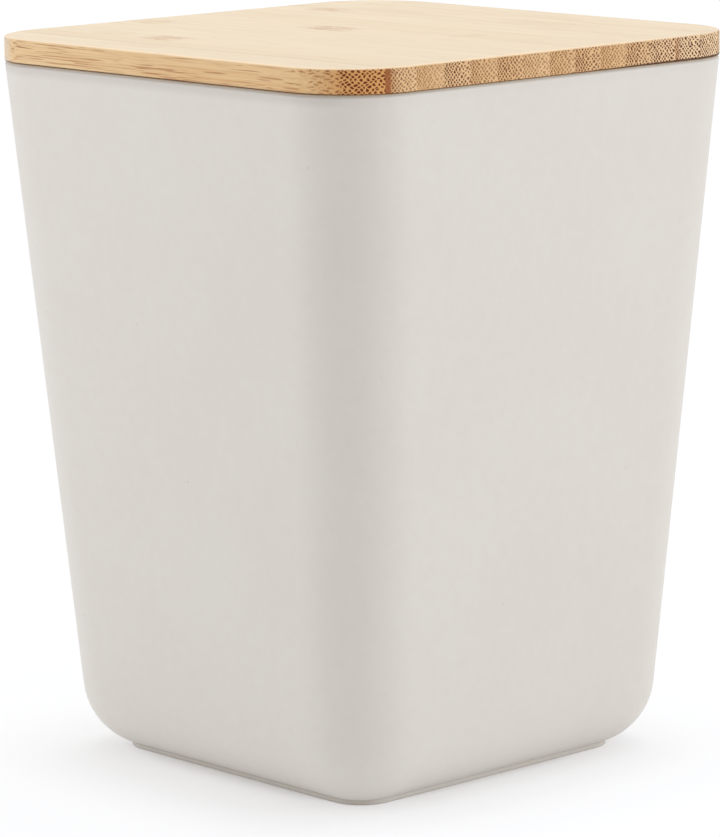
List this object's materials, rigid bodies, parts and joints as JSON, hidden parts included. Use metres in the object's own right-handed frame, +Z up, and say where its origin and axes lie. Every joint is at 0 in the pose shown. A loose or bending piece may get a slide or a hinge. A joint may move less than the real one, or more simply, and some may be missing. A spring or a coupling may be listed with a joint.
{
  "type": "kitchen canister",
  "caption": "Square tapered food canister with rounded corners, a shallow foot ring and a flat lift-off lid of laminated bamboo strips over a sealed plug.",
  "frame": {"origin": "on the floor, under the middle of the tub", "axes": "+Z up; +X along the bamboo strips of the lid, +Y across them"},
  "size_m": [0.1, 0.1, 0.1325],
  "materials": {
    "moulded_fibre": "warm off-white moulded bamboo fibre, matt with a soft sheen and a faint fine mottle",
    "bamboo": "pale natural bamboo, sanded, clear matt oil; long grain on top, dotted end grain at the strip ends",
    "silicone": "milky white silicone, satin"
  },
  "bodies": {
    "canister": {"tub": "moulded_fibre"},
    "lid": {"lid_strip_01": "bamboo", "lid_strip_02": "bamboo", "lid_strip_03": "bamboo", "lid_strip_04": "bamboo", "lid_strip_05": "bamboo", "lid_strip_06": "bamboo", "lid_strip_07": "bamboo", "lid_strip_08": "bamboo", "lid_strip_09": "bamboo", "lid_strip_10": "bamboo", "lid_strip_11": "bamboo", "lid_strip_12": "bamboo", "lid_strip_13": "bamboo", "lid_strip_14": "bamboo", "lid_strip_15": "bamboo", "lid_strip_16": "bamboo", "lid_strip_17": "bamboo", "plug_strip_01": "bamboo", "plug_strip_02": "bamboo", "plug_strip_03": "bamboo", "plug_strip_04": "bamboo", "plug_strip_05": "bamboo", "plug_strip_06": "bamboo", "plug_strip_07": "bamboo", "plug_strip_08": "bamboo", "plug_strip_09": "bamboo", "plug_strip_10": "bamboo", "plug_strip_11": "bamboo", "plug_strip_12": "bamboo", "plug_strip_13": "bamboo", "plug_strip_14": "bamboo", "plug_strip_15": "bamboo", "seal_ring": "silicone"}
  },
  "joints": [
    {"name": "lid_lift", "type": "slide", "parent": "canister", "child": "lid", "axis": [0, 0, 1], "range_m": [0, 0.12]}
  ]
}
